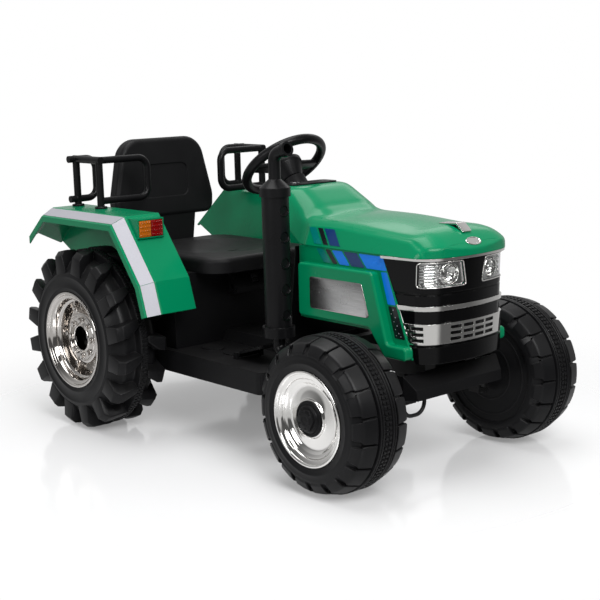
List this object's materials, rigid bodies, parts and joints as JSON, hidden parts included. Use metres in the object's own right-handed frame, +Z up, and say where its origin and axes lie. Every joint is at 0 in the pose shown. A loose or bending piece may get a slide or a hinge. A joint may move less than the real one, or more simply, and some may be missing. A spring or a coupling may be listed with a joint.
{
  "type": "ride-on tractor toy",
  "caption": "Battery ride-on tractor for a small child: bonnet and cowl, exhaust stack, seat between railed rear fenders, lugged rear wheels, steered front wheels and a foot pedal.",
  "frame": {"origin": "on the ground under the middle of the overall length and width", "axes": "+X forward (towards the bonnet), +Y to the driver's left, +Z up"},
  "size_m": [1.226, 0.765, 0.6774],
  "materials": {
    "green": "gloss moulded",
    "black": "fine grained",
    "gloss_black": "gloss moulded",
    "tread": "satin moulded",
    "chrome": "plated plastic",
    "reflector": "plated",
    "clear": "clear moulded",
    "marker": "tinted clear",
    "steel": "zinc plated",
    "frame_black": "powder coat",
    "drive": "moulded",
    "lead": "matte",
    "switch": "gloss moulded"
  },
  "bodies": {
    "chassis": {"hood": "green", "side_wall_right": "green", "side_wall_left": "green", "side_panel_right": "green", "side_panel_left": "green", "fender_right": "green", "fender_left": "green", "chassis_tub": "black", "seat_box": "black", "switch_console": "black", "toe_board": "black", "dash_panel": "black", "seat_pan": "black", "seat_back": "black", "front_bumper": "black", "exhaust_stack": "black", "exhaust_outlet": "black", "exhaust_elbow": "black", "handrail_right": "black", "handrail_left": "black", "front_fascia": "gloss_black", "fascia_strip": "chrome", "lower_grille": "chrome", "hood_edge_trim": "chrome", "hood_scoop": "chrome", "headlamp_bowl_right": "reflector", "headlamp_bowl_left": "reflector", "headlamp_lens_right": "clear", "headlamp_lens_left": "clear", "marker_lamp_right": "marker", "marker_lamp_left": "marker", "rear_axle": "steel", "axle_nuts": "steel", "kingpins": "steel", "front_axle_beam": "steel", "front_subframe": "frame_black", "gear_motor_right": "drive", "gear_motor_left": "drive", "battery": "drive", "front_lead": "lead"},
    "steering": {"steering_wheel": "black", "steering_shaft": "steel"},
    "horn": {"horn_button": "black"},
    "right_knuckle": {"knuckle_right": "steel"},
    "left_knuckle": {"knuckle_left": "steel"},
    "track_link": {"tie_rod": "steel"},
    "front_wheel_right": {"front_tyre_right": "tread", "front_rim_right": "chrome", "front_hub_cap_right": "black"},
    "front_wheel_left": {"front_tyre_left": "tread", "front_rim_left": "chrome", "front_hub_cap_left": "black"},
    "rear_wheel_right": {"rear_tyre_right": "tread", "rear_rim_right": "chrome"},
    "rear_wheel_left": {"rear_tyre_left": "tread", "rear_rim_left": "chrome"},
    "pedal": {"accelerator_pedal": "black"},
    "rocker": {"direction_rocker": "switch"},
    "power_push": {"power_button": "switch"}
  },
  "joints": [
    {"name": "steering_turn", "type": "hinge", "parent": "chassis", "child": "steering", "pos_m": [0.021, 0, 0.606], "axis": [-0.6428, 0, 0.766], "range_deg": [-45, 45]},
    {"name": "right_kingpin", "type": "hinge", "parent": "chassis", "child": "right_knuckle", "pos_m": [0.455, -0.178, 0.158], "axis": [0, 0, 1], "range_deg": [-20.01, 20.01]},
    {"name": "left_kingpin", "type": "hinge", "parent": "chassis", "child": "left_knuckle", "pos_m": [0.455, 0.178, 0.158], "axis": [0, 0, 1], "range_deg": [-20.01, 20.01]},
    {"name": "track_pivot", "type": "hinge", "parent": "right_knuckle", "child": "track_link", "pos_m": [0.38393, -0.178, 0.12], "axis": [0, 0, 1], "range_deg": [-20.01, 20.01]},
    {"name": "front_right_spin", "type": "hinge", "parent": "right_knuckle", "child": "front_wheel_right", "pos_m": [0.455, -0.264, 0.158], "axis": [0, 1, 0], "continuous": true},
    {"name": "front_left_spin", "type": "hinge", "parent": "left_knuckle", "child": "front_wheel_left", "pos_m": [0.455, 0.264, 0.158], "axis": [0, 1, 0], "continuous": true},
    {"name": "rear_right_spin", "type": "hinge", "parent": "chassis", "child": "rear_wheel_right", "pos_m": [-0.315, -0.3155, 0.21], "axis": [0, 1, 0], "continuous": true},
    {"name": "rear_left_spin", "type": "hinge", "parent": "chassis", "child": "rear_wheel_left", "pos_m": [-0.315, 0.3155, 0.21], "axis": [0, 1, 0], "continuous": true},
    {"name": "pedal_press", "type": "hinge", "parent": "chassis", "child": "pedal", "pos_m": [0.059, -0.152, 0.199], "axis": [0, 1, 0], "range_deg": [0, 12], "stiffness_Nm_per_rad": 2, "springref_deg": -11.46},
    {"name": "direction_tip", "type": "hinge", "parent": "chassis", "child": "rocker", "pos_m": [-0.1015, 0, 0.332], "axis": [0, 1, 0], "range_deg": [-8, 8]},
    {"name": "power_press", "type": "slide", "parent": "chassis", "child": "power_push", "axis": [0, 0, -1], "range_m": [0, 0.002], "stiffness_N_per_m": 300, "springref_m": -0.002},
    {"name": "horn_press", "type": "slide", "parent": "steering", "child": "horn", "axis": [0.6428, 0, -0.766], "range_m": [0, 0.002], "stiffness_N_per_m": 300, "springref_m": -0.002}
  ],
  "couplings": [
    {"joint": "right_kingpin", "follows": "steering_turn", "ratio": 0.44444},
    {"joint": "left_kingpin", "follows": "steering_turn", "ratio": 0.44444},
    {"joint": "track_pivot", "follows": "steering_turn", "ratio": -0.44444}
  ]
}
